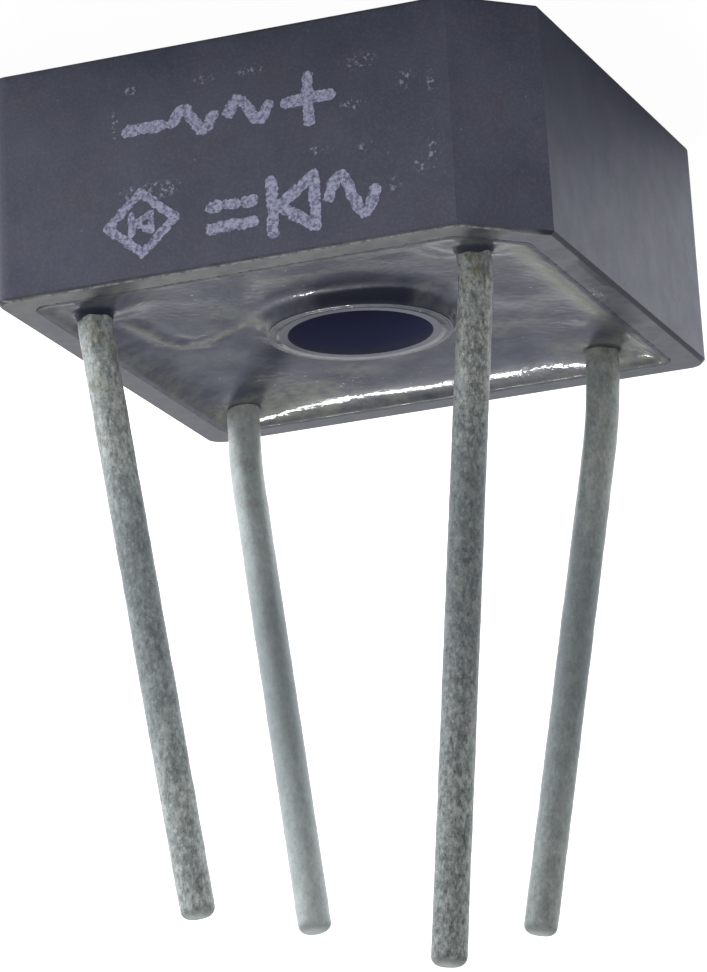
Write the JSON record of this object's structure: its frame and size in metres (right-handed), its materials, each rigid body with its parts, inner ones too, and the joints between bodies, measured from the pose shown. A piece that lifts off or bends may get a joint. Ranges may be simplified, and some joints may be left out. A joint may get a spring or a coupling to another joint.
{
  "type": "bridge rectifier",
  "caption": "Square potted bridge rectifier with a screw hole through its middle, one cut corner and round wire leads.",
  "frame": {"origin": "centre of the screw hole on the flat mounting face", "axes": "+Z out of the resin side, the way the leads point; the printed side faces -Y; the cut corner at the positive lead is at -X and -Y"},
  "size_m": [0.0152, 0.0152, 0.0252],
  "materials": {
    "case": "moulded, dark slate grey, faintly dusty",
    "resin": "cast resin, semi-gloss, wavy",
    "tinned_wire": "tinned copper wire, dull and mottled",
    "copper_strap": "stamped copper",
    "silicon": "smooth dark grey",
    "solder": "satin"
  },
  "bodies": {
    "root": {"case": "case", "potting_compound": "resin", "positive_strap": "copper_strap", "negative_strap": "copper_strap", "ac_a_strap": "copper_strap", "ac_b_strap": "copper_strap", "positive_die_a_lower_solder": "solder", "positive_die_a": "silicon", "positive_die_a_upper_solder": "solder", "positive_die_b_lower_solder": "solder", "positive_die_b": "silicon", "positive_die_b_upper_solder": "solder", "negative_die_a_lower_solder": "solder", "negative_die_a": "silicon", "negative_die_a_upper_solder": "solder", "negative_die_b_lower_solder": "solder", "negative_die_b": "silicon", "negative_die_b_upper_solder": "solder", "positive_lead": "tinned_wire", "negative_lead": "tinned_wire", "ac_a_lead": "tinned_wire", "ac_b_lead": "tinned_wire", "positive_lead_solder": "solder", "negative_lead_solder": "solder", "ac_a_lead_solder": "solder", "ac_b_lead_solder": "solder"}
  },
  "joints": []
}
